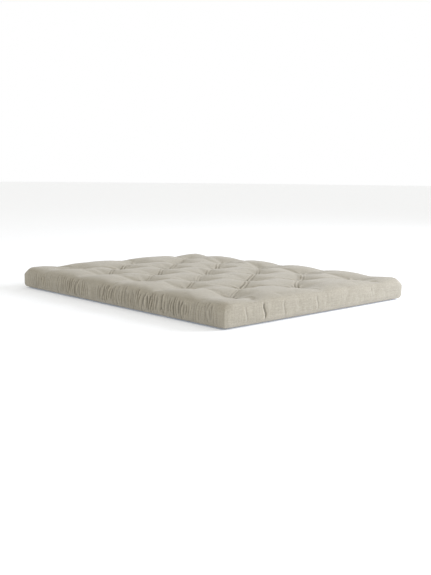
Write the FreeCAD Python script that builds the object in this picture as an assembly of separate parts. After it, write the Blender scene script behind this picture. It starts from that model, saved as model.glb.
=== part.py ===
import FreeCAD
import Part
import math
import os

from FreeCAD import Vector

# Tufted futon mattress for a bed of 160 x 200 cm.
#
# A boxed cotton casing is sewn from a top panel, a bottom panel and four borders.  It is stuffed
# with five loose layers, felt and foam in turn, and tufted: twine is drawn through the whole
# thickness, lies across the top as a short stitch, and is knotted below over a small felt pad.
# The mattress folds once, across its width, between two columns of tufts, so every piece that
# crosses the fold is made as a head part and a foot part.
#
# Millimetres.  X runs from the head end (-) to the foot end (+), Y across the width, Z up from
# the face that the mattress lies on.  The origin is under the middle of the mattress.

# ---- driving dimensions ----------------------------------------------------------------------
LENGTH = 2000.0
WIDTH = 1600.0
THICKNESS = 150.0          # over the crown of the quilting

CORNER_RADIUS = 20.0       # upright corner seams, seen from above
TOP_EDGE_RADIUS = 46.0     # roll of the top edge
BOTTOM_EDGE_RADIUS = 30.0  # roll of the bottom edge, pressed flatter by the weight

CLOTH = 1.5                # casing cloth
CLOTH_GAP = 0.3            # loose fit of the filling in the casing
SEAM_ANGLE = 45.0          # degrees up the rolled edge, where panel and border are sewn together

BOTTOM_FELT = 30.0         # filling layers from the bottom up; the top felt takes what is left
LOWER_FOAM = 25.0
MIDDLE_FELT = 22.0
UPPER_FOAM = 25.0

TUFT_COLUMNS = 9           # columns along the length; every other crossing with a row has a tuft
TUFT_ROWS = 5
TUFT_END_MARGIN = 214.0    # from the head end or foot end to the nearest tuft
TUFT_SIDE_MARGIN = 268.0   # from a long side to the nearest tuft
FOLD_AFTER_COLUMN = 3      # counted from 0; the fold runs midway to the next column

TOP_DIMPLE_DEPTH = 36.0
TOP_DIMPLE_RADIUS = 72.0
BOTTOM_DIMPLE_DEPTH = 12.0
BOTTOM_DIMPLE_RADIUS = 44.0

TWINE_RADIUS = 1.0
TWINE_CLEARANCE = 0.3      # around each leg of twine, in its hole
STITCH_SPAN = 10.0         # between the two legs of one tuft
STITCH_SEAT = 3.0          # flat cloth around the stitch at the foot of a top dimple
PAD_RADIUS = 10.0          # felt pad under the knot
PAD_THICKNESS = 4.0
PAD_SEAT = 1.0             # flat cloth around the pad at the roof of a bottom dimple
KNOT_RADIUS = 3.0

FOLD_CLEARANCE = 0.6       # between the head part and the foot part, lying flat
FOLD_RISE = 4.0            # fold axis above the crown, so that the folded tops stay apart

# ---- places worked out from the dimensions ---------------------------------------------------
COLUMN_PITCH = (LENGTH - 2 * TUFT_END_MARGIN) / (TUFT_COLUMNS - 1)
ROW_PITCH = (WIDTH - 2 * TUFT_SIDE_MARGIN) / (TUFT_ROWS - 1)
FOLD_X = -LENGTH / 2 + TUFT_END_MARGIN + (FOLD_AFTER_COLUMN + 0.5) * COLUMN_PITCH
FOLD_AXIS_Z = THICKNESS + FOLD_RISE
SEAM_DROP = 1.0 - math.sin(math.radians(SEAM_ANGLE))
TOP_SEAM_Z = THICKNESS - TOP_EDGE_RADIUS * SEAM_DROP
BOTTOM_SEAM_Z = BOTTOM_EDGE_RADIUS * SEAM_DROP
TOP_FLOOR_Z = THICKNESS - TOP_DIMPLE_DEPTH
PAD_Z = BOTTOM_DIMPLE_DEPTH - PAD_THICKNESS
HOLE_RADIUS = TWINE_RADIUS + TWINE_CLEARANCE
TOP_FLOOR_RADIUS = STITCH_SPAN / 2 + TWINE_RADIUS + STITCH_SEAT
BOTTOM_FLOOR_RADIUS = PAD_RADIUS + PAD_SEAT
BEYOND = LENGTH + WIDTH    # reaches past the mattress from anywhere in it


def tuft_places():
    """(x, y) of every tuft, in staggered rows."""
    places = []
    for column in range(TUFT_COLUMNS):
        for row in range(TUFT_ROWS):
            if (column + row) % 2 == 0:
                x = -LENGTH / 2 + TUFT_END_MARGIN + column * COLUMN_PITCH
                y = -WIDTH / 2 + TUFT_SIDE_MARGIN + row * ROW_PITCH
                places.append((x, y))
    return places


def block(low, high):
    """A box between two corners."""
    size = high - low
    return Part.makeBox(size.x, size.y, size.z, low)


def slab(z_low, z_high):
    """All the space between two heights."""
    return block(Vector(-BEYOND, -BEYOND, z_low), Vector(BEYOND, BEYOND, z_high))


def edges_along(shape, axis, z=None):
    """The edges of a box that run along an axis, or only those at height z."""
    found = []
    for edge in shape.Edges:
        start, end = (vertex.Point for vertex in edge.Vertexes)
        if (end - start).cross(axis).Length < 1e-6 and (z is None or abs(start.z - z) < 1e-6):
            found.append(edge)
    return found


def rolled_bar(low, high, axis, inset):
    """A box whose long edges are rolled, the top ones more than the bottom ones."""
    bar = block(low, high)
    top_edges = edges_along(bar, axis, high.z)
    bottom_edges = edges_along(bar, axis, low.z)
    rolled_top = bar.makeFillet(TOP_EDGE_RADIUS - inset, top_edges)
    rolled_bottom = bar.makeFillet(BOTTOM_EDGE_RADIUS - inset, bottom_edges)
    return rolled_top.common(rolled_bottom)


def pillow(inset):
    """The mattress without its dimples, taken in by inset all round.

    Two rolled bars cross each other, so the rolls meet in a mitre at each corner, and the upright
    corners are rounded only as much as their seams are.
    """
    x = LENGTH / 2 - inset
    y = WIDTH / 2 - inset
    low = inset
    high = THICKNESS - inset
    lengthways = rolled_bar(Vector(-BEYOND, -y, low), Vector(BEYOND, y, high), Vector(1, 0, 0), inset)
    crossways = rolled_bar(Vector(-x, -BEYOND, low), Vector(x, BEYOND, high), Vector(0, 1, 0), inset)
    column = block(Vector(-x, -y, -BEYOND), Vector(x, y, BEYOND))
    column = column.makeFillet(CORNER_RADIUS - inset, edges_along(column, Vector(0, 0, 1)))
    return lengthways.common(crossways).common(column)


def dimple(depth, mouth_radius, floor_radius, inset):
    """A cone that opens upwards to z = 0, grown by inset on every side and carried on past its mouth."""
    slope = (mouth_radius - floor_radius) / depth
    side_growth = inset * math.sqrt(1.0 + slope * slope)
    past_mouth = inset + 1.0
    low_radius = floor_radius + side_growth - slope * inset
    high_radius = mouth_radius + side_growth + slope * past_mouth
    height = depth + inset + past_mouth
    return Part.makeCone(low_radius, high_radius, height, Vector(0, 0, -depth - inset))


def dimple_cutters(inset):
    """Every dimple of the top and of the bottom."""
    top = dimple(TOP_DIMPLE_DEPTH, TOP_DIMPLE_RADIUS, TOP_FLOOR_RADIUS, inset)
    bottom = dimple(BOTTOM_DIMPLE_DEPTH, BOTTOM_DIMPLE_RADIUS, BOTTOM_FLOOR_RADIUS, inset)
    bottom = bottom.mirror(Vector(0, 0, 0), Vector(0, 0, 1))
    cutters = []
    for x, y in tuft_places():
        cutters.append(top.translated(Vector(x, y, THICKNESS)))
        cutters.append(bottom.translated(Vector(x, y, 0)))
    return cutters


def leg_offsets():
    """Where the two legs of a tuft stand, along X from its middle."""
    return (-STITCH_SPAN / 2, STITCH_SPAN / 2)


def twine_holes():
    """A hole through the whole thickness for each leg of twine."""
    holes = []
    for x, y in tuft_places():
        for offset in leg_offsets():
            holes.append(Part.makeCylinder(HOLE_RADIUS, THICKNESS, Vector(x + offset, y, 0)))
    return holes


def mattress(inset):
    """The dimpled mattress taken in by inset, with its twine holes."""
    return pillow(inset).cut(dimple_cutters(inset) + twine_holes())


def part_spaces():
    """The space of the head part and of the foot part, with the fold's clearance between them."""
    edge = FOLD_CLEARANCE / 2
    head = block(Vector(-BEYOND, -BEYOND, -BEYOND), Vector(FOLD_X - edge, BEYOND, BEYOND))
    foot = block(Vector(FOLD_X + edge, -BEYOND, -BEYOND), Vector(BEYOND, BEYOND, BEYOND))
    return {"head": head, "foot": foot}


def border_space(side):
    """The space of one border, from seam to seam in height and mitred to its neighbours in plan."""
    x = LENGTH / 2
    y = WIDTH / 2
    reach = TOP_EDGE_RADIUS + BOTTOM_EDGE_RADIUS
    outlines = {
        "head_end": [(-1, -1, -1), (-1, -1, 1), (-1, 1, 1), (-1, 1, -1)],
        "foot_end": [(1, -1, -1), (1, -1, 1), (1, 1, 1), (1, 1, -1)],
        "left": [(-1, -1, -1), (-1, -1, 1), (1, -1, 1), (1, -1, -1)],
        "right": [(-1, 1, -1), (-1, 1, 1), (1, 1, 1), (1, 1, -1)],
    }
    points = []
    for x_sign, y_sign, inward in outlines[side]:
        px = x_sign * (x - inward * reach)
        py = y_sign * (y - inward * reach)
        points.append(Vector(px, py, BOTTOM_SEAM_Z))
    face = Part.Face(Part.makePolygon(points + points[:1]))
    return face.extrude(Vector(0, 0, TOP_SEAM_Z - BOTTOM_SEAM_Z))


def make_casing(parts):
    """The sewn cotton casing: a top panel, a bottom panel and four borders."""
    shell = mattress(0.0).cut(mattress(CLOTH))
    borders = {side: border_space(side) for side in ("head_end", "foot_end", "left", "right")}
    panels = shell.cut(list(borders.values()))
    middle = THICKNESS / 2
    for part, space in part_spaces().items():
        parts[f"top_panel_{part}"] = panels.common(space).common(slab(middle, BEYOND))
        parts[f"bottom_panel_{part}"] = panels.common(space).common(slab(-BEYOND, middle))
        parts[f"left_border_{part}"] = shell.common(space).common(borders["left"])
        parts[f"right_border_{part}"] = shell.common(space).common(borders["right"])
        parts[f"{part}_end_border"] = shell.common(space).common(borders[part + "_end"])


def make_filling(parts):
    """The five loose layers inside the casing."""
    stuffing = mattress(CLOTH + CLOTH_GAP)
    heights = {
        "bottom_felt": BOTTOM_FELT,
        "lower_foam": LOWER_FOAM,
        "middle_felt": MIDDLE_FELT,
        "upper_foam": UPPER_FOAM,
    }
    inside_height = THICKNESS - 2 * (CLOTH + CLOTH_GAP)
    heights["top_felt"] = inside_height - sum(heights.values())
    for part, space in part_spaces().items():
        z = CLOTH + CLOTH_GAP
        for name, height in heights.items():
            parts[f"{name}_{part}"] = stuffing.common(slab(z, z + height)).common(space)
            z += height


def felt_pad():
    """The pad under a knot, standing on z = 0, with a hole for each leg of twine."""
    pad = Part.makeCylinder(PAD_RADIUS, PAD_THICKNESS)
    holes = [
        Part.makeCylinder(HOLE_RADIUS, PAD_THICKNESS, Vector(offset, 0, 0))
        for offset in leg_offsets()
    ]
    return pad.cut(holes)


def tuft_twine():
    """One tuft's twine: a stitch across the top, two legs, and a knotted bar under the pad."""
    stitch_z = TOP_FLOOR_Z + TWINE_RADIUS
    bar_z = PAD_Z - TWINE_RADIUS
    pieces = []
    for offset in leg_offsets():
        pieces.append(Part.makeCylinder(TWINE_RADIUS, stitch_z - bar_z, Vector(offset, 0, bar_z)))
        pieces.append(Part.makeSphere(TWINE_RADIUS, Vector(offset, 0, stitch_z)))
        pieces.append(Part.makeSphere(TWINE_RADIUS, Vector(offset, 0, bar_z)))
    for z in (stitch_z, bar_z):
        start = Vector(-STITCH_SPAN / 2, 0, z)
        pieces.append(Part.makeCylinder(TWINE_RADIUS, STITCH_SPAN, start, Vector(1, 0, 0)))
    pieces.append(Part.makeSphere(KNOT_RADIUS, Vector(0, 0, PAD_Z - KNOT_RADIUS)))
    return pieces[0].fuse(pieces[1:])


def make_tufts(parts):
    """The twine and the felt pad of every tuft, grouped by the part that they hold."""
    twine = tuft_twine()
    pad = felt_pad()
    for part in ("head", "foot"):
        places = [(x, y) for x, y in tuft_places() if (x < FOLD_X) == (part == "head")]
        twines = [twine.translated(Vector(x, y, 0)) for x, y in places]
        pads = [pad.translated(Vector(x, y, PAD_Z)) for x, y in places]
        parts[f"tuft_twine_{part}"] = Part.makeCompound(twines)
        parts[f"felt_pads_{part}"] = Part.makeCompound(pads)


parts = {}
make_casing(parts)
make_filling(parts)
make_tufts(parts)

os.makedirs("parts", exist_ok=True)
for name, shape in sorted(parts.items()):
    solids = shape.Solids
    if not solids or not all(solid.isValid() for solid in solids):
        raise ValueError(f"{name} has no valid solid")
    node = solids[0] if len(solids) == 1 else Part.makeCompound(solids)
    node.exportStep(f"parts/{name}.step")
    box = node.optimalBoundingBox()
    extent = f"x {box.XMin:8.1f} {box.XMax:8.1f}  y {box.YMin:7.1f} {box.YMax:7.1f}"
    extent += f"  z {box.ZMin:6.1f} {box.ZMax:6.1f}"
    print(f"{name:20s} solids {len(solids):2d}  {extent}  {node.Volume / 1e6:7.3f} litres")
print(f"fold axis at x = {FOLD_X:.2f}, z = {FOLD_AXIS_Z:.2f}")
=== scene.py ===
import math

import bmesh
import bpy
import numpy as np
from mathutils import Matrix, Vector


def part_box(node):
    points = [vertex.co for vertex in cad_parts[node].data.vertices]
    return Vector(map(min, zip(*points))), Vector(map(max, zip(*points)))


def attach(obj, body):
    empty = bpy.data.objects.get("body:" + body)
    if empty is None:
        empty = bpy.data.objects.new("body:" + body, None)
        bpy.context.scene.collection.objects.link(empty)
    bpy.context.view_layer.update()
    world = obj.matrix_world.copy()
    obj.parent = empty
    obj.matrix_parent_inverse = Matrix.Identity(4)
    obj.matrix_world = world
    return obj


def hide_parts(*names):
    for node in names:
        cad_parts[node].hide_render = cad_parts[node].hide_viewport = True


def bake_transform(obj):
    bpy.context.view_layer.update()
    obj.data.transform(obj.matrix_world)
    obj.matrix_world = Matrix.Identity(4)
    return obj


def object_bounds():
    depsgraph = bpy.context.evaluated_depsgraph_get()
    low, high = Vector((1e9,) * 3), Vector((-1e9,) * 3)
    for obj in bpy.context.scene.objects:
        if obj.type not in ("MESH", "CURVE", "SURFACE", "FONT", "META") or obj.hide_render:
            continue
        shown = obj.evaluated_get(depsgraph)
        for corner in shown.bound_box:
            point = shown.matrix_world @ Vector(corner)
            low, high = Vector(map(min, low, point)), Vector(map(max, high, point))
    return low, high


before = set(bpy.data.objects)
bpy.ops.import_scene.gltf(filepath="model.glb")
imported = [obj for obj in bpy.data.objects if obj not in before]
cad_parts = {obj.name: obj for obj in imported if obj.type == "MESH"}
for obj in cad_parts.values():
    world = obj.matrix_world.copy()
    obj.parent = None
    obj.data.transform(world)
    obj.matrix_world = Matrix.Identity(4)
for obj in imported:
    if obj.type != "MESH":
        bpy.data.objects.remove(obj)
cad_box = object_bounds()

# ---- Viewpoint ---------------------------------------------------------------------------------
# A product camera stands off the foot-left corner, a little above the mattress, and looks almost
# level across it.  The picture is upright, so the lens is counted on its tall side.
eye = Vector((3.798, -3.515, 0.792))
eye_turn = math.radians(46.57)
eye_dip = math.radians(8.30)
eye_roll = math.radians(0.59)
camera = bpy.data.objects.new("studio_camera", bpy.data.cameras.new("studio_camera"))
camera.data.lens = 48.83
camera.data.sensor_width = 36.0
camera.matrix_world = (
    Matrix.Translation(eye)
    @ Matrix.Rotation(eye_turn, 4, "Z")
    @ Matrix.Rotation(math.pi / 2 - eye_dip, 4, "X")
    @ Matrix.Rotation(eye_roll, 4, "Z")
)
bpy.context.scene.collection.objects.link(camera)
bpy.context.scene.camera = camera


# ---- Cover cloth ---------------------------------------------------------------------------------
# One greige cotton-linen, woven plain from uneven yarns, makes all six panels of the casing.  It is
# neither dyed nor bleached.  The thick and thin places in its yarns show as short dashes of tone.
def group(name, inputs, outputs):
    """An empty shader group with its sockets, and its two end nodes."""
    tree = bpy.data.node_groups.new(name, "ShaderNodeTree")
    for label, kind, default in inputs:
        socket = tree.interface.new_socket(label, in_out="INPUT", socket_type=kind)
        socket.default_value = default
    for label, kind in outputs:
        tree.interface.new_socket(label, in_out="OUTPUT", socket_type=kind)
    return tree, tree.nodes.new("NodeGroupInput"), tree.nodes.new("NodeGroupOutput")


def add(tree, kind, settings=(), **inputs):
    """A node with its settings and inputs; an input is a value or another node's output."""
    node = tree.nodes.new(kind)
    for key, value in dict(settings).items():
        setattr(node, key, value)
    for key, value in inputs.items():
        socket = node.inputs[int(key[1:]) if key[0] == "_" else key.replace("_", " ")]
        if isinstance(value, bpy.types.NodeSocket):
            tree.links.new(value, socket)
        else:
            socket.default_value = value
    return node


def maths(tree, operation, a, b=0.0, clamp=False):
    """One Math node's output."""
    settings = {"operation": operation, "use_clamp": clamp}
    return add(tree, "ShaderNodeMath", settings, _0=a, _1=b).outputs[0]


# slubs: streaks of tone along each of the three ways that a panel's yarns can run
slub_group, given, made = group(
    "slub_yarn",
    [("Length", "NodeSocketFloat", 0.03), ("Thickness", "NodeSocketFloat", 0.002)],
    [("Streaks", "NodeSocketFloat")],
)
place = add(slub_group, "ShaderNodeTexCoord").outputs["Object"]
fine = maths(slub_group, "DIVIDE", 1.0, given.outputs["Thickness"])
coarse = maths(slub_group, "DIVIDE", 1.0, given.outputs["Length"])
streaks = []
for order in ((coarse, fine, fine), (fine, coarse, fine), (fine, fine, coarse)):
    scale = add(slub_group, "ShaderNodeCombineXYZ", X=order[0], Y=order[1], Z=order[2]).outputs[0]
    stretched = add(
        slub_group, "ShaderNodeVectorMath", {"operation": "MULTIPLY"}, _0=place, _1=scale
    ).outputs[0]
    noise = add(
        slub_group, "ShaderNodeTexNoise", Vector=stretched, Scale=1.0, Detail=2.0, Roughness=0.6
    )
    streaks.append(noise.outputs["Fac"])
both = maths(slub_group, "ADD", streaks[0], streaks[1])
three = maths(slub_group, "ADD", both, streaks[2])
slub_group.links.new(maths(slub_group, "DIVIDE", three, 3.0), made.inputs["Streaks"])

# weave: over-and-under yarns, read on whichever two directions the surface lies in
weave_group, given, made = group(
    "plain_weave",
    [("Yarns per metre", "NodeSocketFloat", 900.0)],
    [("Height", "NodeSocketFloat")],
)
place = add(weave_group, "ShaderNodeTexCoord").outputs["Object"]
axes = add(weave_group, "ShaderNodeSeparateXYZ", Vector=place)
turns = maths(weave_group, "MULTIPLY", given.outputs["Yarns per metre"], math.pi)
waves = [
    maths(weave_group, "SINE", maths(weave_group, "MULTIPLY", axes.outputs[axis], turns))
    for axis in "XYZ"
]
over_xy = maths(weave_group, "MULTIPLY", waves[0], waves[1])
over_xz = maths(weave_group, "MULTIPLY", waves[0], waves[2])
over_yz = maths(weave_group, "MULTIPLY", waves[1], waves[2])
total = maths(weave_group, "ADD", maths(weave_group, "ADD", over_xy, over_xz), over_yz)
weave_group.links.new(total, made.inputs["Height"])

# mottle: slow drifts of tone over a hand's width, from handling
mottle_group, given, made = group(
    "mottle",
    [("Size", "NodeSocketFloat", 0.12), ("Depth", "NodeSocketFloat", 0.05)],
    [("Factor", "NodeSocketFloat")],
)
place = add(mottle_group, "ShaderNodeTexCoord").outputs["Object"]
scale = maths(mottle_group, "DIVIDE", 1.0, given.outputs["Size"])
noise = add(mottle_group, "ShaderNodeTexNoise", Vector=place, Scale=scale, Detail=3.0)
swing = maths(mottle_group, "SUBTRACT", noise.outputs["Fac"], 0.5)
swing = maths(mottle_group, "MULTIPLY", swing, given.outputs["Depth"])
mottle_group.links.new(maths(mottle_group, "ADD", swing, 1.0), made.inputs["Factor"])


def use(tree, shared, **values):
    """A shared group placed in a material with its own values."""
    node = tree.nodes.new("ShaderNodeGroup")
    node.node_tree = shared
    for key, value in values.items():
        node.inputs[key.replace("_", " ")].default_value = value
    return node


def new_material(name, roughness, sheen, specular=0.25):
    """A Principled material with its constant values on its own sockets."""
    material = bpy.data.materials.new(name)
    material.use_nodes = True
    shader = material.node_tree.nodes["Principled BSDF"]
    shader.inputs["Roughness"].default_value = roughness
    shader.inputs["Sheen Weight"].default_value = sheen
    shader.inputs["Sheen Roughness"].default_value = 0.5
    shader.inputs["Specular IOR Level"].default_value = specular
    return material, material.node_tree, shader


def two_tones(tree, share, low_end, high_end):
    """A colour ramp between two (place, colour) ends."""
    ramp = add(tree, "ShaderNodeValToRGB", Fac=share)
    for element, (place, colour) in zip(ramp.color_ramp.elements, (low_end, high_end)):
        element.position = place
        element.color = (*colour, 1)
    return ramp.outputs["Color"]


def tone_to_shader(tree, shader, colour, strength):
    """Joins a colour, scaled by a strength, to the shader."""
    settings = {"operation": "SCALE"}
    scaled = add(tree, "ShaderNodeVectorMath", settings, _0=colour, Scale=strength)
    tree.links.new(scaled.outputs[0], shader.inputs["Base Color"])


def relief_to_shader(tree, shader, height, strength, depth):
    """Joins a height, as a bump of a depth in metres, to the shader."""
    bump = add(tree, "ShaderNodeBump", Strength=strength, Distance=depth, Height=height)
    tree.links.new(bump.outputs["Normal"], shader.inputs["Normal"])


def cover_cloth(name, tone):
    """The casing's cloth: dark and pale yarns of one greige, slubs, a plain weave, a mottle, and
    painted shade in its folds with painted highlight on its ridges.
    """
    material, tree, shader = new_material(name, 0.92, 0.25)
    slubs = use(tree, slub_group, Length=0.028, Thickness=0.0016)
    broad = use(tree, slub_group, Length=0.16, Thickness=0.0060)
    weave = use(tree, weave_group, Yarns_per_metre=900.0)
    mottle = use(tree, mottle_group, Size=0.13, Depth=0.10)
    mixed = maths(tree, "MULTIPLY", slubs.outputs[0], 0.65)
    mixed = maths(tree, "ADD", mixed, maths(tree, "MULTIPLY", broad.outputs[0], 0.35))
    dark_yarn, pale_yarn = 0.70 * np.array(tone), 1.30 * np.array(tone)
    ramp = two_tones(tree, mixed, (0.38, dark_yarn), (0.62, pale_yarn))
    # painted shade: folds are darkened by the fold attribute, and ridges are lightened by it as
    # painted highlight
    fold_shade_and_highlight = add(tree, "ShaderNodeAttribute", {"attribute_name": "fold_shade_and_highlight"}).outputs["Fac"]
    painted_fold_shading = maths(tree, "SUBTRACT", 1.0, maths(tree, "MULTIPLY", fold_shade_and_highlight, 0.38))
    strength = maths(tree, "MULTIPLY", mottle.outputs["Factor"], painted_fold_shading)
    tone_to_shader(tree, shader, ramp, strength)
    relief = maths(tree, "MULTIPLY", weave.outputs["Height"], 0.25)
    relief = maths(tree, "ADD", relief, maths(tree, "MULTIPLY", slubs.outputs[0], 2.2))
    relief_to_shader(tree, shader, relief, 0.35, 0.0006)
    return material


cloth = cover_cloth("greige_cotton_linen", (0.338, 0.311, 0.255))

# ---- Casing, as one sewn bag ---------------------------------------------------------------------
# The bag is laid out as the real one is sewn: a top panel over four borders.  It is stuffed a
# little too full and drawn down by twine at every tuft, and the cloth is left to settle between.
low, high = (np.array(corner) for corner in cad_box)
half_length, half_width = (high[:2] - low[:2]) / 2
crown = high[2]          # the highest that the filling stands
top_roll = 0.046         # roll of the top edge
bottom_roll = 0.030      # roll of the bottom edge
cloth_step = 0.0112      # one square of the cloth that is simulated
border_rows = 12         # and its rows down a border
seam_slope = math.sqrt(0.5)                  # both seams lie halfway round their rolls
top_seam = top_roll * (1 - seam_slope)       # how far in, and how far below the crown
bottom_seam = bottom_roll * (1 - seam_slope)
corner_pull = 0.003      # the corner seams stand in this far, both ways

# Tufts: staggered rows.  The outer ones bound the box of the felt pads.
pad_radius = 0.010
pads_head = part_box("felt_pads_head")
pads_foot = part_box("felt_pads_foot")
tuft_reach_x = pads_foot[1][0] - pad_radius
tuft_reach_y = pads_foot[1][1] - pad_radius
tuft_columns, tuft_rows = 9, 5
column_x = np.linspace(-tuft_reach_x, tuft_reach_x, tuft_columns)
row_y = np.linspace(-tuft_reach_y, tuft_reach_y, tuft_rows)
tufts = np.array([
    (column_x[c], row_y[r])
    for c in range(tuft_columns)
    for r in range(tuft_rows)
    if (c + r) % 2 == 0
])
column_pitch = column_x[1] - column_x[0]
row_pitch = row_y[1] - row_y[0]
diagonal = math.hypot(column_pitch, row_pitch)       # from a tuft to the next one
fold_x = (pads_head[1][0] - pad_radius + pads_foot[0][0] + pad_radius) / 2
tuft_floor = 0.114       # the cloth at a tuft, 36 mm under the crown


def smooth(t):
    """0 below 0, 1 above 1, and an even slope change between."""
    t = np.clip(t, 0, 1)
    return t * t * (3 - 2 * t)


def quilt_height(x, y, dip):
    """Height of the top over the plan, with its edge roll, its dimples and the valleys between."""
    qx = np.clip(top_roll - (half_length - np.abs(x)), 0, top_roll)
    qy = np.clip(top_roll - (half_width - np.abs(y)), 0, top_roll)
    q = np.minimum(np.hypot(qx, qy), top_roll * 0.985)
    drop = top_roll - np.sqrt(top_roll**2 - q**2)
    d = np.hypot(x[..., None] - tufts[:, 0], y[..., None] - tufts[:, 1])
    dimple = (dip * np.exp(-((d / 0.10) ** 1.2))).sum(axis=-1)
    # valleys follow the two sets of diagonals through the tufts
    across_a = (x / column_pitch + y / row_pitch) / 2
    across_b = (x / column_pitch - y / row_pitch) / 2
    valley = 0
    for across in (across_a, across_b):
        off = np.abs(across - np.round(across)) * 2 * column_pitch * row_pitch / diagonal
        valley = valley + np.exp(-((off / 0.04) ** 2))
    inside_x = smooth((tuft_reach_x + 0.5 * column_pitch - np.abs(x)) / (0.6 * column_pitch))
    inside_y = smooth((tuft_reach_y + 0.5 * row_pitch - np.abs(y)) / (0.6 * row_pitch))
    along = np.exp(-d.min(axis=-1) / 0.12)
    valley = np.minimum(valley, 1.0) * inside_x * inside_y * dip / 3 * (0.4 + 0.6 * along)
    return crown - drop - np.minimum(dimple + valley, dip)


def inset_at(z):
    """How far a border stands in from the outline at a height, over both rolls."""
    up = np.clip(z - (crown - top_roll), 0, top_roll)
    down = np.clip(bottom_roll - z, 0, bottom_roll)
    over = top_roll - np.sqrt(top_roll**2 - up**2)
    under = bottom_roll - np.sqrt(bottom_roll**2 - down**2)
    return over + under


# top panel's grid, out to its seam
seam_x, seam_y = half_length - top_seam, half_width - top_seam
count_x = 2 * round(seam_x / cloth_step)
count_y = 2 * round(seam_y / cloth_step)
grid_x, grid_y = np.meshgrid(
    np.linspace(-seam_x, seam_x, count_x + 1), np.linspace(-seam_y, seam_y, count_y + 1)
)
number = np.arange((count_x + 1) * (count_y + 1)).reshape(count_y + 1, count_x + 1)


def quads(index):
    """The faces of a grid of point numbers."""
    faces = np.stack([index[:-1, :-1], index[:-1, 1:], index[1:, 1:], index[1:, :-1]], axis=-1)
    return faces.reshape(-1, 4)


def near_seam(distance, reach, band):
    """1 at a seam's distance from the middle, and 0 further in than a band."""
    return smooth((np.abs(distance) - reach + band) / band)


def round_rim(index):
    """The outer numbers of a grid, anticlockwise from its first corner, each once."""
    return np.concatenate([index[0, :-1], index[:-1, -1], index[-1, :0:-1], index[:0:-1, 0]])


def bag(dip):
    """Points of the bag, and the point numbers of each border as a grid."""
    x, y = grid_x.copy(), grid_y.copy()
    z = quilt_height(x, y, dip)
    pulled = corner_pull * near_seam(x, seam_x, 0.10) * near_seam(y, seam_y, 0.10)
    x -= np.sign(x) * pulled
    y -= np.sign(y) * pulled
    points = [np.stack([x, y, z], axis=-1).reshape(-1, 3)]
    total = len(points[0])
    # each border hangs from one side of the ring
    ring = round_rim(number)
    top = points[0][ring]
    flat_x, flat_y = grid_x.reshape(-1)[ring], grid_y.reshape(-1)[ring]
    at_corner = near_seam(flat_x, seam_x, 0.022) * near_seam(flat_y, seam_y, 0.022)
    on_end = np.isclose(np.abs(flat_x), seam_x)
    on_side = np.isclose(np.abs(flat_y), seam_y)
    levels = [ring]
    for t in np.linspace(0, 1, border_rows + 1)[1:]:
        row = top.copy()
        row[:, 2] = top[:, 2] + (bottom_seam - top[:, 2]) * t
        inset = inset_at(row[:, 2]) + corner_pull * at_corner
        out_x, out_y = half_length - inset, half_width - inset
        row[:, 0] = np.where(on_end, np.sign(row[:, 0]) * out_x, flat_x * out_x / seam_x)
        row[:, 1] = np.where(on_side, np.sign(row[:, 1]) * out_y, flat_y * out_y / seam_y)
        points.append(row)
        levels.append(np.arange(total, total + len(ring)))
        total += len(ring)
    levels = np.array(levels)
    levels = np.concatenate([levels, levels[:, :1]], axis=1)
    corners = [0, count_x, count_x + count_y, 2 * count_x + count_y, 2 * (count_x + count_y)]
    sides = [levels[::-1, a:b + 1] for a, b in zip(corners[:-1], corners[1:])]
    return np.concatenate(points), sides


def mesh_object(name, points, faces):
    """A linked, smoothly shaded object from an array of points and an array or a list of faces."""
    mesh = bpy.data.meshes.new(name)
    mesh.from_pydata(points.tolist(), [], faces if isinstance(faces, list) else faces.tolist())
    mesh.update()
    mesh.shade_smooth()
    piece = bpy.data.objects.new(name, mesh)
    bpy.context.scene.collection.objects.link(piece)
    return piece


def points_of(piece):
    """A mesh's points as an array."""
    flat = np.empty(len(piece.data.vertices) * 3, np.float32)
    piece.data.vertices.foreach_get("co", flat)
    return flat.reshape(-1, 3).astype(float)


start, sides = bag(crown - tuft_floor)
cut, _ = bag(0.0)
faces = np.concatenate([quads(number)] + [quads(side) for side in sides])
bottom_ring = np.unique(np.concatenate([side[0] for side in sides]))
settled = start.copy()
cloth_bag = mesh_object("bag", start, faces)
cloth_bag.shape_key_add(name="start")
cut_key = cloth_bag.shape_key_add(name="cut")
cut_key.data.foreach_set("co", cut.astype(np.float32).reshape(-1))
# the twine holds the cloth at each tuft, and the bottom seam lies still
top_points = start[:number.size]
at_tufts = [
    int(np.argmin(np.hypot(top_points[:, 0] - x, top_points[:, 1] - y))) for x, y in tufts
]
held = cloth_bag.vertex_groups.new(name="held")
held.add([int(i) for i in bottom_ring] + at_tufts, 1.0, "REPLACE")
stuffed = cloth_bag.modifiers.new("stuffed", "CLOTH")
sewn = stuffed.settings
sewn.quality = 8
sewn.mass = 0.25
sewn.tension_stiffness = 40
sewn.compression_stiffness = 40
sewn.shear_stiffness = 8
sewn.bending_stiffness = 4
sewn.use_pressure = True
sewn.uniform_pressure_force = 4
sewn.vertex_group_mass = "held"
sewn.rest_shape_key = cut_key
sewn.shrink_min = -0.02      # the cloth is cut a fiftieth larger than the filling
sewn.effector_weights.gravity = 0
stuffed.collision_settings.use_collision = False
for step in range(1, 21):
    bpy.context.scene.frame_set(step)
settled = points_of(cloth_bag.evaluated_get(bpy.context.evaluated_depsgraph_get()))
bpy.context.scene.frame_set(1)
bpy.data.objects.remove(cloth_bag)

# The filling is firm: a pillow's top flattens towards the crown however full the cloth is, and the
# borders keep to the outline, with only their short puckers and bulges left from the stuffing.
pillow_rise = 0.048
pillow_ease = 0.044


def pressed(z):
    """A height of free cloth, as the firm filling holds it."""
    above = np.maximum(z - tuft_floor, 0)
    risen = tuft_floor + pillow_rise * (1 - np.exp(-above / pillow_ease))
    return np.where(z > tuft_floor, risen, z)


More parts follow.
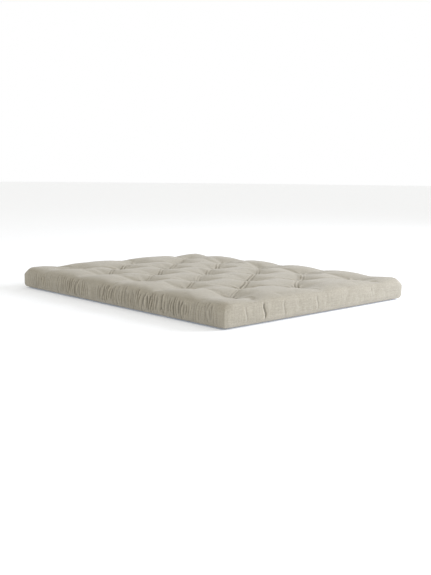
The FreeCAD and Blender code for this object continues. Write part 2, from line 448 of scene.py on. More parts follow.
def evened(values, spread):
    """A running average along a border, over a number of columns each way."""
    window = np.exp(-0.5 * (np.arange(-3 * spread, 3 * spread + 1) / spread) ** 2)
    ends_kept = np.pad(values, 3 * spread, mode="edge")
    return np.convolve(ends_kept, window / window.sum(), mode="valid")


for shape in (settled, start):
    shape[:, 2] = pressed(shape[:, 2])
edge_band = 0.16         # how far in from a border its bulge is felt
border_band = 0.05       # and how far in it is held back
pucker_depth = 0.010     # the most that a pucker sinks into a border
border_ways = (
    # axis and way that it faces, how far out it stands, share of the puckers that it keeps
    (1, -1, half_width, 0.9),
    (0, 1, half_length, 0.25),
    (1, 1, half_width, 0.9),
    (0, -1, half_length, 0.25),
)
for side, (axis, sign, reach, free) in zip(sides, border_ways):
    middle = side[border_rows // 3:2 * border_rows // 3]
    stands_out = (sign * settled[middle, axis]).mean(axis=0) - reach
    along = settled[middle, 1 - axis].mean(axis=0)
    order = np.argsort(along)
    drift = np.interp(settled[:, 1 - axis], along[order], evened(stands_out[order], 9))
    weight = smooth((sign * settled[:, axis] - reach + edge_band) / edge_band)
    weight *= smooth((settled[:, 2] - bottom_seam) / 0.03)
    settled[:, axis] -= sign * drift * weight
    calm = smooth((sign * start[:, axis] - reach + border_band) / (0.6 * border_band))
    settled += (start - settled) * (1 - free) * calm[:, None]
    sunk = np.maximum(sign * (start[:, axis] - settled[:, axis]), 0)
    settled[:, axis] += sign * (sunk - pucker_depth * np.tanh(sunk / pucker_depth)) * calm

# the cloth's own stiffness rounds what is smaller than a finger, most of all at the top corners
ends_of = np.concatenate([faces[:, [0, 1]], faces[:, [1, 2]], faces[:, [2, 3]], faces[:, [3, 0]]])
ends_of = np.concatenate([ends_of, ends_of[:, ::-1]])
neighbours = np.bincount(ends_of[:, 0], minlength=len(settled)).astype(float)
corner_gap = np.sqrt(
    (half_length - np.abs(start[:, 0])) ** 2 + (half_width - np.abs(start[:, 1])) ** 2
    + (0.120 - start[:, 2]) ** 2
)
ease = 0.25 + 0.6 * smooth((0.060 - corner_gap) / 0.04)
ease[bottom_ring] = 0
corner_seams = np.concatenate([side[:, 0] for side in sides])
ease[corner_seams[start[corner_seams, 2] < 0.100]] = 0      # a seam keeps its own line
for turn in range(8):
    average = np.stack([
        np.bincount(ends_of[:, 0], weights=settled[ends_of[:, 1], i], minlength=len(settled))
        for i in range(3)
    ], axis=-1) / neighbours[:, None]
    share = ease if turn < 1 else np.where(ease > 0.3, ease, 0)
    settled += (average - settled) * share[:, None]
# the outermost tufts draw the edge down too, so that it stands in long low waves
edge_dips = ((0, tuft_reach_x, 0.0065), (1, tuft_reach_y, 0.013))      # axis, tufts' place, depth
wave_width = 0.095
drawn = np.zeros(len(settled))
for tuft in tufts:
    for axis, reach, edge_dip in edge_dips:
        if abs(tuft[axis]) < reach - 0.01:
            continue
        outward = math.copysign(1, tuft[axis]) * settled[:, axis]
        beyond = smooth((outward - reach + 0.04) / 0.10)
        beside = np.exp(-(((settled[:, 1 - axis] - tuft[1 - axis]) / wave_width) ** 2))
        drawn = np.maximum(drawn, edge_dip * beyond * beside)
settled[:, 2] -= drawn * smooth((settled[:, 2] - 0.07) / 0.06)
# the felt under a tuft is crushed well beyond the stitch
crushed_share = 0.52
crushed_width = 0.095
cover_points = settled[:number.size]
for x, y in tufts:
    gap = np.hypot(cover_points[:, 0] - x, cover_points[:, 1] - y)
    stands = np.maximum(cover_points[:, 2] - tuft_floor, 0)
    cover_points[:, 2] -= stands * crushed_share * np.exp(-((gap / crushed_width) ** 2))
over_outline = 0.004     # the cloth may stand this far outside the filling's own size
over_crown = 0.003
outline = np.array([half_length + over_outline, half_width + over_outline])
settled[:, :2] = np.clip(settled[:, :2], -outline, outline)
settled[:, 2] = np.clip(settled[:, 2], 0, crown + over_crown)


def subdivided(piece, levels):
    """The piece with its subdivision made real."""
    modifier = piece.modifiers.new("finer", "SUBSURF")
    modifier.levels = levels
    modifier.render_levels = levels
    modifier.boundary_smooth = "PRESERVE_CORNERS"
    seen = piece.evaluated_get(bpy.context.evaluated_depsgraph_get())
    finer = bpy.data.meshes.new_from_object(seen)
    piece.modifiers.clear()
    old = piece.data
    piece.data = finer
    bpy.data.meshes.remove(old)
    piece.data.name = piece.name
    return piece


def panel(name, index, levels):
    """One panel cut out of the settled bag and subdivided."""
    used, local = np.unique(quads(index), return_inverse=True)
    piece = mesh_object(name, settled[used], local.reshape(-1, 4))
    return subdivided(piece, levels)


def crosses_fold(piece):
    """Bakes the piece's placement into its points."""
    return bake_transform(piece)


def normals_of(piece):
    """A mesh's point normals as an array."""
    flat = np.empty(len(piece.data.vertices) * 3, np.float32)
    piece.data.vertex_normals.foreach_get("vector", flat)
    return flat.reshape(-1, 3).astype(float)


def reshape(piece, points):
    """Moves a mesh's points."""
    piece.data.vertices.foreach_set("co", points.astype(np.float32).reshape(-1))
    piece.data.update()


def fold(u, v, reach, width, height):
    """A fold of cloth that starts at u=0, dies out at its reach, and is rounded across v."""
    rise = smooth(u / 0.020) * (1 - smooth((u / reach - 0.25) / 0.75))
    return height * rise * np.exp(-((v / width) ** 2))


def paint_fold_shade(piece, raised, depth):
    """Stores painted shade for the cover cloth: how deep each point lies in a crease, and below 0 on
    a ridge, where it is painted highlight.
    """
    layer = piece.data.attributes.new("fold_shade_and_highlight", "FLOAT", "POINT")
    layer.data.foreach_set("value", np.clip(-raised / depth, -0.55, 1).astype(np.float32))


turned_width = 0.003     # how much of a seam allowance is shown, turned in
core = np.array([half_length - 0.075, half_width - 0.075, 0.07])     # well inside the filling


def turned_in(piece):
    """Turns the cut edges of a panel inwards, towards the filling, as its seam allowances lie."""
    work = bmesh.new()
    work.from_mesh(piece.data)
    rim = [edge for edge in work.edges if edge.is_boundary]
    extruded = bmesh.ops.extrude_edge_only(work, edges=rim)["geom"]
    for vert in (item for item in extruded if isinstance(item, bmesh.types.BMVert)):
        point = np.array(vert.co)
        way = np.array([*np.clip(point[:2], -core[:2], core[:2]), core[2]]) - point
        vert.co = point + way / np.linalg.norm(way) * turned_width
    for edge in rim:
        edge.smooth = False
    work.to_mesh(piece.data)
    work.free()


# ---- Top panel -----------------------------------------------------------------------------------
# One width of the cloth over the whole bed.  Each tuft gathers it: short folds run out from the
# stitch, and longer ones join tuft to tuft down the valleys, mostly along one diagonal.
short_folds = 8          # round each tuft
fold_width = 0.009       # half the width of a short fold
hollow_width = 0.008     # and of the hollow beside it
hollow_offset = 0.015
ridge_height = 0.0060    # of the long folds from tuft to tuft
stitch_width = 0.022     # how far from a stitch the cloth is drawn right down to it
full_shade_depth = 0.004     # a fold as deep as this gets the full painted shade
top_panel = panel("top_panel", number, 1)
chance = np.random.RandomState(11)
points = points_of(top_panel)
raised = np.zeros(len(points))
for x, y in tufts:
    near = np.nonzero(np.hypot(points[:, 0] - x, points[:, 1] - y) < 0.14)[0]
    dx, dy = points[near, 0] - x, points[near, 1] - y
    turn = chance.uniform(0, 2 * math.pi)
    for _ in range(short_folds):
        turn += chance.uniform(0.45, 1.1)
        reach = chance.uniform(0.045, 0.115)
        height = chance.uniform(0.0020, 0.0045)
        bend = chance.uniform(-2.0, 2.0)
        along = dx * math.cos(turn) + dy * math.sin(turn)
        across = dy * math.cos(turn) - dx * math.sin(turn) + bend * along**2
        raised[near] += fold(along, across, reach, fold_width, height)
        raised[near] -= fold(along, across - hollow_offset, reach, hollow_width, 0.5 * height)
diagonal_ways = ((-1, 1.0), (1, 0.45))       # way along the length, and strength
for (x, y), (way, strength) in [(tuft, lean) for tuft in tufts for lean in diagonal_ways]:
    end_x, end_y = x + way * column_pitch, y + row_pitch
    if abs(end_x) > tuft_reach_x + 0.01 or end_y > tuft_reach_y + 0.01:
        continue
    ux, uy = way * column_pitch / diagonal, row_pitch / diagonal
    along = (points[:, 0] - x) * ux + (points[:, 1] - y) * uy
    across = (points[:, 1] - y) * ux - (points[:, 0] - x) * uy
    near = np.nonzero((along > 0) & (along < diagonal) & (np.abs(across) < 0.05))[0]
    t = along[near] / diagonal
    strength = strength * chance.uniform(0.6, 1.2)
    wander = 0.009 * np.sin(2 * math.pi * (t + chance.uniform(0, 1)))
    pitch = chance.uniform(0.016, 0.024)
    lean_over = chance.uniform(-1.3, 1.3)
    v = across[near] - wander
    ends = smooth(t / 0.06) * smooth((1 - t) / 0.06)
    height = ridge_height * strength * ends * (0.45 + 0.55 * np.abs(2 * t - 1))
    wave = np.cos(2 * math.pi * v / pitch + lean_over)
    raised[near] += height * wave * np.exp(-((v / (0.85 * pitch)) ** 2))
seam_gap = np.minimum(seam_x - np.abs(points[:, 0]), seam_y - np.abs(points[:, 1]))
raised *= smooth(seam_gap / 0.02)
points = points + normals_of(top_panel) * raised[:, None]
for x, y in tufts:
    gap = np.hypot(points[:, 0] - x, points[:, 1] - y)
    stands = points[gap.argmin(), 2] - tuft_floor
    points[:, 2] -= stands * np.exp(-((gap / stitch_width) ** 2))
points[:, 2] = np.minimum(points[:, 2], crown + over_crown)
reshape(top_panel, points)
to_each = np.hypot(points[:, :1] - tufts[:, 0], points[:, 1:2] - tufts[:, 1])
to_tuft = to_each.min(axis=1)
# painted shade: the cloth is darkened in the hollow round each tuft, on top of the painted shade in
# its folds and painted highlight on its ridges
painted_tuft_shade = 0.0030 * np.exp(-((to_tuft / 0.045) ** 2))
paint_fold_shade(top_panel, np.where(raised > 0, raised, 0.4 * raised) - painted_tuft_shade, full_shade_depth)
turned_in(top_panel)
top_panel.data.materials.append(cloth)
crosses_fold(top_panel)
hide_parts("top_panel_head", "top_panel_foot")

# ---- Borders -------------------------------------------------------------------------------------
# Four strips of the same cloth, joined at upright corner seams.  The long sides are eased on to
# the top panel, so they stand in upright pleats; the two ends were pulled nearly smooth.
side_pleats = (
    # middle, half spread, depth in metres
    (-0.40, 0.17, 0.0070), (-0.02, 0.12, 0.0062), (0.16, 0.10, 0.0045),
    (0.38, 0.16, 0.0085), (0.62, 0.10, 0.0066), (-0.76, 0.16, 0.0034), (0.84, 0.12, 0.0034),
)
end_creases = ((-0.50, 0.0055), (-0.64, 0.0016), (-0.34, 0.0018), (-0.06, 0.0018), (0.47, 0.0010))


def pleats(s, z, clusters, seed):
    """Upright pleats in clusters along a border: uneven, leaning a little, fading to the seams."""
    chance = np.random.RandomState(seed)
    raised = np.zeros(len(s))
    for middle, spread, depth in clusters:
        place = middle - spread
        while place < middle + spread:
            lean = chance.uniform(-0.10, 0.10)
            bow = chance.uniform(-0.006, 0.006)
            width = chance.uniform(0.0040, 0.0070)
            top, foot = chance.uniform(0.105, 0.145), chance.uniform(0.004, 0.035)
            share = math.exp(-(((place - middle) / spread) ** 2)) * chance.uniform(0.5, 1.2)
            near = np.nonzero(np.abs(s - place) < 0.05)[0]
            v = s[near] - place - lean * (z[near] - 0.07) - bow * np.cos(z[near] * 45)
            tall = smooth((z[near] - foot) / 0.02) * smooth((top - z[near]) / 0.025)
            deep = depth * share * tall
            raised[near] -= deep * np.exp(-((v / width) ** 2))
            raised[near] += 0.7 * deep * np.exp(-(((v - 1.7 * width) / width) ** 2))
            place += chance.uniform(0.015, 0.026)
    return raised


def creases(s, z, places, seed):
    """A few single upright creases, each a shallow S."""
    chance = np.random.RandomState(seed)
    raised = np.zeros(len(s))
    for place, depth in places:
        near = np.nonzero(np.abs(s - place) < 0.06)[0]
        v = s[near] - place - 0.007 * np.sin((z[near] - 0.02) * 60 + chance.uniform(0, 1))
        tall = smooth((z[near] - 0.015) / 0.03) * smooth((0.125 - z[near]) / 0.03)
        raised[near] -= depth * tall * np.exp(-((v / 0.006) ** 2))
        raised[near] += 0.5 * depth * tall * np.exp(-(((v + 0.013) / 0.008) ** 2))
    return raised


layer_names = ("bottom_felt", "lower_foam", "middle_felt", "upper_foam", "top_felt")
border_names = ("left_border", "foot_end_border", "right_border", "head_end_border")
for order, (name, side) in enumerate(zip(border_names, sides)):
    border = panel(name + "_strip", side, 2)
    points = points_of(border)
    if name in ("left_border", "right_border"):
        halves = ("head", "foot")
        raised = pleats(points[:, 0], points[:, 2], side_pleats, 20 + order)
        from_corner = half_length - np.abs(points[:, 0])
    else:
        halves = (name.split("_")[0],)
        raised = creases(points[:, 1], points[:, 2], end_creases, 20 + order)
        from_corner = half_width - np.abs(points[:, 1])
    raised *= smooth((from_corner - 0.01) / 0.05)
    points += normals_of(border) * raised[:, None]
    reshape(border, points)
    # painted shade in the border's folds, and painted highlight on its ridges
    paint_fold_shade(border, raised, full_shade_depth)
    turned_in(border)
    border.data.materials.append(cloth)
    if len(halves) == 2:
        crosses_fold(border)
        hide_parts(name + "_head", name + "_foot")
    else:
        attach(border, halves[0] + "_part")
        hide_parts(name)

# ---- Bottom panel --------------------------------------------------------------------------------
# The same cloth underneath.  It lies flat where the mattress rests, turns up round the bottom roll
# to its seam, and is drawn up into a shallow dimple over each felt pad.
under_floor = 0.012      # the cloth over a pad, above the ground
under_reach = 0.044      # how far from a tuft the cloth lifts off the ground
under_x = grid_x[::2, ::2] / seam_x * (half_length - bottom_seam)
under_y = grid_y[::2, ::2] / seam_y * (half_width - bottom_seam)
rolls = np.maximum(
    np.clip(bottom_roll - (half_length - np.abs(under_x)), 0, bottom_roll),
    np.clip(bottom_roll - (half_width - np.abs(under_y)), 0, bottom_roll),
)
under_z = bottom_roll - np.sqrt(bottom_roll**2 - rolls**2)
under = np.stack([under_x, under_y, under_z], axis=-1)
under_number = np.arange(under_x.size).reshape(under_x.shape)
under = under.reshape(-1, 3)
seam_points = settled[bottom_ring]
for i in round_rim(under_number):
    gaps = np.abs(seam_points[:, :2] - under[i, :2]).sum(axis=1)
    under[i] = seam_points[gaps.argmin()]
bottom_panel = mesh_object("bottom_panel", under, quads(under_number)[:, ::-1])
subdivided(bottom_panel, 1)
points = points_of(bottom_panel)
chance = np.random.RandomState(5)
flat_part = smooth((half_length - bottom_roll - np.abs(points[:, 0])) / 0.02)
flat_part *= smooth((half_width - bottom_roll - np.abs(points[:, 1])) / 0.02)
for x, y in tufts:
    dx, dy = points[:, 0] - x, points[:, 1] - y
    gap = np.hypot(dx, dy)
    points[:, 2] += under_floor * (1 - smooth((gap - pad_radius) / (under_reach - pad_radius)))
    for turn in np.arange(7) * 0.9 + chance.uniform(0, 1):       # short puckers round the pad
        along = dx * math.cos(turn) + dy * math.sin(turn)
        across = dy * math.cos(turn) - dx * math.sin(turn)
        points[:, 2] += fold(along - 0.008, across, 0.075, 0.010, 0.0022) * flat_part
points[:, 2] = np.maximum(points[:, 2], 0)
reshape(bottom_panel, points)
turned_in(bottom_panel)
bottom_panel.data.materials.append(cloth)
crosses_fold(bottom_panel)
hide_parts("bottom_panel_head", "bottom_panel_foot")

# ---- Filling -------------------------------------------------------------------------------------
# Five layers laid up by hand: felted cotton at the top, middle and bottom, with a slab of foam in
# each gap.  Nothing glues them; the twine at the tufts and the casing hold the stack together.
fibre_group, given, made = group(
    "fibre",
    [("Size", "NodeSocketFloat", 0.004), ("Fleck", "NodeSocketFloat", 0.62)],
    [("Height", "NodeSocketFloat"), ("Flecks", "NodeSocketFloat")],
)
place = add(fibre_group, "ShaderNodeTexCoord").outputs["Object"]
scale = maths(fibre_group, "DIVIDE", 1.0, given.outputs["Size"])
tangle = add(
    fibre_group, "ShaderNodeTexNoise", Vector=place, Scale=scale, Detail=4.0, Distortion=1.5
)
specks = add(fibre_group, "ShaderNodeTexNoise", Vector=place, Scale=scale, Detail=1.0)
over = maths(fibre_group, "SUBTRACT", specks.outputs["Fac"], given.outputs["Fleck"])
flecks = maths(fibre_group, "MULTIPLY", over, 12.0, clamp=True)
fibre_group.links.new(tangle.outputs["Fac"], made.inputs["Height"])
fibre_group.links.new(flecks, made.inputs["Flecks"])


def felt_material(name, tone, fleck_tone, size):
    """Felted cotton: a tangle of fibres with darker flecks."""
    material, tree, shader = new_material(name, 0.97, 0.35, 0.1)
    fibres = use(tree, fibre_group, Size=size, Fleck=0.60)
    mottle = use(tree, mottle_group, Size=0.05, Depth=0.16)
    colour = add(
        tree, "ShaderNodeMix", {"data_type": "RGBA"}, Factor=fibres.outputs["Flecks"],
        _6=(*tone, 1), _7=(*fleck_tone, 1),
    ).outputs[2]
    tone_to_shader(tree, shader, colour, mottle.outputs["Factor"])
    relief_to_shader(tree, shader, fibres.outputs["Height"], 0.8, 0.0015)
    return material


cotton_felt = felt_material("felted_cotton", (0.62, 0.58, 0.50), (0.30, 0.27, 0.22), 0.004)

foam, tree, shader = new_material("cream_foam", 0.85, 0.0, 0.2)
place = add(tree, "ShaderNodeTexCoord").outputs["Object"]
from_cell = add(tree, "ShaderNodeTexVoronoi", Vector=place, Scale=700.0).outputs["Distance"]
pores = maths(tree, "SUBTRACT", 1.0, from_cell)
cream = two_tones(tree, from_cell, (0.0, (0.56, 0.49, 0.33)), (0.45, (0.76, 0.70, 0.54)))
aged = use(tree, mottle_group, Size=0.20, Depth=0.10)
tone_to_shader(tree, shader, cream, aged.outputs["Factor"])
relief_to_shader(tree, shader, pores, 0.6, 0.0008)

cloth_gap = 0.004        # between the filling and the cover
side_gap = 0.018         # and at the sides, where the borders' pleats reach in
layer_corner = 0.055     # the layers are trimmed round at their corners
layer_step = 0.025       # between the grid lines of a layer
clear = 0.0004           # between one layer and the next
over_cloth = 0.001       # between the bottom cloth and the lowest layer
over_pad = 0.005         # between the cloth over a pad and the felt above
least_felt = 0.006       # the top felt is never pressed thinner
edge_ease = 0.004        # height of a layer's eased edge, over twice as much width


def layer_lines(reach):
    """Places of a layer's grid lines: close together round the edge, then evenly spaced."""
    near_edge = reach - np.array([0, 0.004, 0.010, 0.018, 0.028, 0.040, 0.056])
    inner = near_edge[-1] - 0.020
    middle = np.linspace(-inner, inner, 2 * round(inner / layer_step) + 1)
    return np.concatenate([-near_edge, middle, near_edge[::-1]])


# the lowest that the cover comes near each place of its own grid, so that the felt stays under it
cover = settled[:number.size, 2].reshape(number.shape)
lowest = cover.copy()
for _ in range(2):
    edge = np.pad(lowest, 1, mode="edge")
    rows, columns = lowest.shape
    around = [edge[i:i + rows, j:j + columns] for i in range(3) for j in range(3)]
    lowest = np.min(around, axis=0)


def under_cover(x, y):
    """Height that filling may reach under the cover."""
    column = (x + seam_x) / (2 * seam_x) * count_x
    row = (y + seam_y) / (2 * seam_y) * count_y
    i = np.clip(np.floor(row).astype(int), 0, count_y - 1)
    j = np.clip(np.floor(column).astype(int), 0, count_x - 1)
    v, u = np.clip(row - i, 0, 1), np.clip(column - j, 0, 1)
    low_side = lowest[i, j] * (1 - u) + lowest[i, j + 1] * u
    high_side = lowest[i + 1, j] * (1 - u) + lowest[i + 1, j + 1] * u
    return low_side * (1 - v) + high_side * v - cloth_gap


def roll_height(gap):
    """Height of the top edge's roll at a distance in from the outline."""
    q = np.clip(top_roll - gap, 0, top_roll)
    return crown - top_roll + np.sqrt(np.maximum(top_roll**2 - q**2, 0))


def layer(name, base, top, material, slot, dips=False):
    """One layer between two heights, as a closed slab with eased edges and a slightly lumpy face."""
    stand_in = side_gap + float(max(inset_at(base), 0 if dips else inset_at(top)))
    reach_x, reach_y = half_length - stand_in, half_width - stand_in
    x, y = np.meshgrid(layer_lines(reach_x), layer_lines(reach_y))
    gap = np.minimum(reach_x - np.abs(x), reach_y - np.abs(y))
    # the corner squares are drawn in to quarter rounds
    out_x = np.abs(x) - (reach_x - layer_corner)
    out_y = np.abs(y) - (reach_y - layer_corner)
    corner = (out_x > 0) & (out_y > 0)
    farther = np.maximum(out_x, out_y)
    share = np.where(corner, farther / np.maximum(np.hypot(out_x, out_y), 1e-9), 1)
    x = np.where(corner, np.sign(x) * (reach_x - layer_corner + out_x * share), x)
    y = np.where(corner, np.sign(y) * (reach_y - layer_corner + out_y * share), y)
    eased = edge_ease * (1 - np.sqrt(1 - np.clip(1 - gap / (2 * edge_ease), 0, 1) ** 2))
    lumps = 0.0010 * np.sin(37 * x + 3 * np.sin(23 * y)) * np.cos(41 * y + 2 * np.sin(19 * x))
    upper = np.full(x.shape, float(top))
    if dips:
        rolled = roll_height(gap) - cloth_gap
        upper = np.minimum(np.minimum(under_cover(x, y), rolled), top)
        upper = np.maximum(upper, base + least_felt)
    lower = np.full(x.shape, float(base))
    if base < bottom_roll:
        dx = x[..., None] - tufts[:, 0]
        dy = y[..., None] - tufts[:, 1]
        rise = 1 - smooth((np.hypot(dx, dy) - 0.016) / (0.055 - 0.016))
        lower = np.maximum(lower, (rise * (under_floor + over_pad)).max(axis=-1))
    upper = upper - eased + (lumps if dips else 0.3 * lumps)
    lower = lower + eased
    index = np.arange(x.size).reshape(x.shape)
    points = np.concatenate([
        np.stack([x, y, face], axis=-1).reshape(-1, 3) for face in (upper, lower)
    ])
    rim = round_rim(index)
    after = np.roll(rim, -1)
    wall = np.stack([rim + x.size, after + x.size, after, rim], axis=-1)
    underside = quads(index)[:, ::-1] + x.size
    piece = mesh_object(name, points, np.concatenate([quads(index), underside, wall]))
    piece.data.materials.append(material)
    crosses_fold(piece)
    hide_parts(name + "_head", name + "_foot")


for name in layer_names:
    under_corner, over_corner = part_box(name + "_head")
    is_lowest, is_highest = name == layer_names[0], name == layer_names[-1]
    base = under_corner[2] + (over_cloth if is_lowest else clear)
    top = crown - cloth_gap if is_highest else over_corner[2] - clear
    if name.endswith("foam"):
        layer(name, base, top, foam, "filling_foam")
    else:
        layer(name, base, top, cotton_felt, "filling_felt", dips=is_highest)

# ---- Tuft twine ----------------------------------------------------------------------------------
# Waxed cotton twine of two plies.  A long needle takes it down, across under a felt pad and back
# up; it is pulled tight, tied off under the pad with a flat knot, and its tails are cut short.
twine_radius = 0.001
stitch_half = 0.005      # half the stitch across the cover
ply_turn = 0.006         # one full twist of the plies
pad_thickness = 0.004    # of the felt pad that it holds
pad_bottom = under_floor - pad_thickness


def rounded_path(corners, radius, step):
    """Points along straight runs whose corners are rounded off."""
    path = [np.array(corners[0], float)]
    for before, at, after in zip(corners[:-2], corners[1:-1], corners[2:]):
        before, at, after = (np.array(p, float) for p in (before, at, after))
        back = (before - at) / np.linalg.norm(before - at)
        on = (after - at) / np.linalg.norm(after - at)
        path += [
            at + back * radius * (1 - t) ** 2 + on * radius * t**2 for t in np.linspace(0, 1, 6)
        ]
    path.append(np.array(corners[-1], float))
    filled = [path[0]]
    for point in path[1:]:
        gap = np.linalg.norm(point - filled[-1])
        lean = abs(point[2] - filled[-1][2]) > 0.02
        parts = max(1, round(gap / (0.008 if lean else step)))
        filled += [filled[-1] + (point - filled[-1]) * k / parts for k in range(1, parts + 1)]
    return np.array(filled)


def ringed(rings, middles):
    """Points of a row of rings and of its two end middles, and the ring points' numbers as a grid."""
    index = np.arange(rings.shape[0] * rings.shape[1]).reshape(rings.shape[:2])
    index = np.concatenate([index, index[:, :1]], axis=1)
    return np.concatenate([rings.reshape(-1, 3), middles]), index


def fan(middle, one_side, other_side):
    """Triangles from an end's middle point to each step of its ring."""
    return [[middle, a, b] for a, b in zip(one_side.tolist(), other_side.tolist())]


def laid_cord(path, radius, sides=10):
    """A two-ply cord along a path, as points and faces."""
    ahead = np.gradient(path, axis=0)
    ahead /= np.maximum(np.linalg.norm(ahead, axis=1, keepdims=True), 1e-9)
    length = np.concatenate([[0], np.cumsum(np.linalg.norm(np.diff(path, axis=0), axis=1))])
    aside = np.cross(ahead, (0, 1, 0.02))
    aside /= np.linalg.norm(aside, axis=1, keepdims=True)
    third = np.cross(ahead, aside)
    angle = np.linspace(0, 2 * math.pi, sides + 1)[:-1]
    swell = 1 + 0.22 * np.cos(2 * (angle[None] - 2 * math.pi * length[:, None] / ply_turn))
    round_path = (
        np.cos(angle)[None, :, None] * aside[:, None] + np.sin(angle)[None, :, None] * third[:, None]
    )
    rings = path[:, None] + radius * 0.86 * swell[..., None] * round_path
    points, index = ringed(rings, path[[0, -1]])
    body = quads(index).tolist()
    body += fan(len(points) - 2, index[0, :-1], index[0, 1:])
    body += fan(len(points) - 1, index[-1, 1:], index[-1, :-1])
    return points, body


def tuft_cords():
    """The loop of one tuft and the knot that ties it, about the tuft's own middle."""
    top, under = tuft_floor + twine_radius, pad_bottom - twine_radius
    loop = rounded_path([
        (-0.0005, 0, under), (-stitch_half, 0, under), (-stitch_half, 0, top),
        (stitch_half, 0, top), (stitch_half, 0, under), (0.0005, 0, under),
    ], 0.0014, 0.0008)
    wraps = np.linspace(0, 2 * math.pi * 2.5, 60)
    knot = np.stack([
        -0.0022 + 0.0044 * wraps / wraps[-1],
        0.0020 * np.cos(wraps),
        under - 0.0004 + 0.0016 * np.sin(wraps),
    ], axis=-1)
    tails = [
        rounded_path([
            (sign * 0.0020, 0, under - 0.0005), (sign * 0.0035, sign * 0.004, under - 0.0015),
            (sign * 0.0060, sign * 0.008, under - 0.0010), (sign * 0.0070, sign * 0.012, under),
        ], 0.0012, 0.0008)
        for sign in (-1, 1)
    ]
    return [laid_cord(loop, twine_radius), laid_cord(knot, 0.0008)] + [
        laid_cord(tail, 0.0009) for tail in tails
    ]


def joined(name, parts):
    """One object from several lots of points and faces."""
    all_points, all_faces, total = [], [], 0
    for points, body in parts:
        all_points.append(points)
        all_faces += [[i + total for i in face] for face in body]
        total += len(points)
    return mesh_object(name, np.concatenate(all_points), all_faces)


def tuft_pieces(name, finish, made_for, material):
    """What every tuft of a half holds, as one piece for the head half and one for the foot half."""
    pieces = []
    for part in ("head", "foot"):
        mine = [(x, y) for x, y in tufts if (x < fold_x) == (part == "head")]
        piece = joined(name + "_" + part + "_" + finish, [
            (points + (x, y, 0), body)
            for order, (x, y) in enumerate(mine)
            for points, body in made_for(order)
        ])
        piece.data.materials.append(material)
        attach(piece, part + "_part")
        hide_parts(name + "_" + part)
        pieces.append(piece)
    return pieces


twine, tree, shader = new_material("waxed_twine", 0.7, 0.1, 0.35)
ply = use(tree, slub_group, Length=0.004, Thickness=0.0004)
waxed = two_tones(tree, ply.outputs[0], (0.35, (0.33, 0.30, 0.24)), (0.65, (0.50, 0.46, 0.38)))
tree.links.new(waxed, shader.inputs["Base Color"])
relief_to_shader(tree, shader, ply.outputs[0], 0.5, 0.0003)

cords = tuft_cords()
tuft_pieces("tuft_twine", "laid", lambda order: cords, twine)

# ---- Felt pads -----------------------------------------------------------------------------------
# A round washer of pressed grey wool felt lies under each tuft, so that the knot can't pull
# through the cloth.  They are punched out, so the rims are clean, and the twine dents the middles.
pad_felt = felt_material("pressed_wool_felt", (0.30, 0.29, 0.27), (0.14, 0.135, 0.13), 0.0014)


pad_section = (
    # share of the radius, height over the pad's underside
    (0.0, 0.0012), (0.35, 0.0010), (0.62, 0.0003), (0.88, 0.0), (0.97, 0.0005), (1.0, 0.0013),
    (1.0, 0.0027), (0.97, 0.0035), (0.88, 0.0040), (0.5, 0.0040), (0.0, 0.0040),
)


def punched_pad(order):
    """One pad, turned from its section, with a slightly uneven rim and a dented underside."""
    chance = np.random.RandomState(30 + order)
    turns = np.linspace(0, 2 * math.pi, 49)[:-1]
    wave = 1 - 0.012 * (1 + np.sin(3 * turns + chance.uniform(0, 6)) * np.cos(5 * turns))
    share, height = np.array(pad_section).T[..., None]
    x = share * pad_radius * wave * np.cos(turns)
    y = share * pad_radius * wave * np.sin(turns)
    rings = np.stack([x, y, 0 * x + pad_bottom + height], axis=-1)
    # the first and last lines of the section are the middles of the two faces
    points, index = ringed(rings[1:-1], rings[[0, -1], 0])
    body = quads(index).tolist()
    body += fan(len(points) - 2, index[0, 1:], index[0, :-1])
    body += fan(len(points) - 1, index[-1, :-1], index[-1, 1:])
    return [(points, body)]


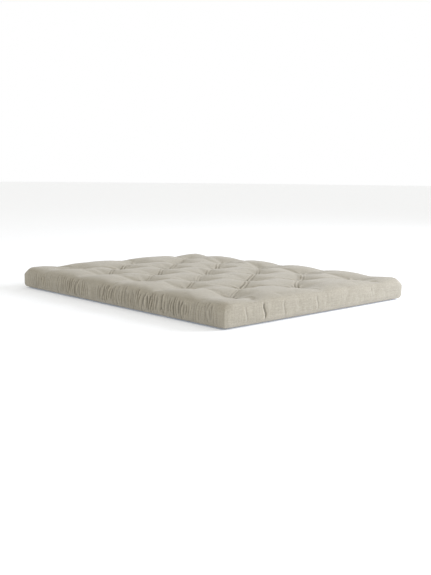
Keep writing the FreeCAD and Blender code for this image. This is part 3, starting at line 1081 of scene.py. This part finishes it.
for piece in tuft_pieces("felt_pads", "punched", punched_pad, pad_felt):
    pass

# ---- Studio --------------------------------------------------------------------------------------
# A plain pale floor under an even white surround, and one broad soft light off the foot-right
# side, so the foot end is the brightest face and the left side lies in open shade.
floor_radius = 60.0
floor_sides = 96
floor_gap = 0.0005       # below the underside of the mattress
turns = np.linspace(0, 2 * math.pi, floor_sides + 1)[:-1]
rim_x, rim_y = floor_radius * np.cos(turns), floor_radius * np.sin(turns)
rim = np.stack([rim_x, rim_y, 0 * turns - floor_gap], axis=-1)
studio_floor = mesh_object("studio_floor", rim, [list(range(floor_sides))])
paper, tree, shader = new_material("pale_paper", 0.9, 0.0, 0.1)
grain = use(tree, mottle_group, Size=0.9, Depth=0.015)
tone_to_shader(tree, shader, (0.93, 0.93, 0.93), grain.outputs["Factor"])
shader.inputs["Emission Color"].default_value = (0.10, 0.12, 0.16, 1)
shader.inputs["Emission Strength"].default_value = 1.0
studio_floor.data.materials.append(paper)

world = bpy.data.worlds.new("studio_surround")
bpy.context.scene.world = world
world.use_nodes = True
surround = world.node_tree.nodes["Background"]
seen_by = world.node_tree.nodes.new("ShaderNodeLightPath")
tint = add(
    world.node_tree, "ShaderNodeMix", {"data_type": "RGBA"}, Factor=seen_by.outputs["Is Camera Ray"],
    _6=(0.87, 0.85, 0.80, 1), _7=(1, 1, 1, 1),
)
world.node_tree.links.new(tint.outputs[2], surround.inputs["Color"])


def soft_light(name, turn, rise, distance, size, energy, colour):
    """A broad light at a compass turn and a rise, aimed at the middle of the mattress."""
    light = bpy.data.objects.new(name, bpy.data.lights.new(name, "AREA"))
    light.data.shape = "RECTANGLE"
    light.data.size, light.data.size_y = size
    light.data.energy = energy
    light.data.color = colour
    turn, rise = math.radians(turn), math.radians(rise)
    level = math.cos(rise)
    toward = Vector((level * math.cos(turn), level * math.sin(turn), math.sin(rise)))
    light.location = toward * distance
    light.rotation_euler = toward.to_track_quat("Z", "Y").to_euler()
    bpy.context.scene.collection.objects.link(light)


soft_light("key_light", 54, 20, 6.5, (4.2, 3.5), 390, (0.95, 1.0, 1.12))
soft_light("fill_light", -14, 10, 5.5, (1.2, 1.0), 28, (1.0, 0.98, 0.93))
bpy.context.scene.view_settings.view_transform = "Standard"
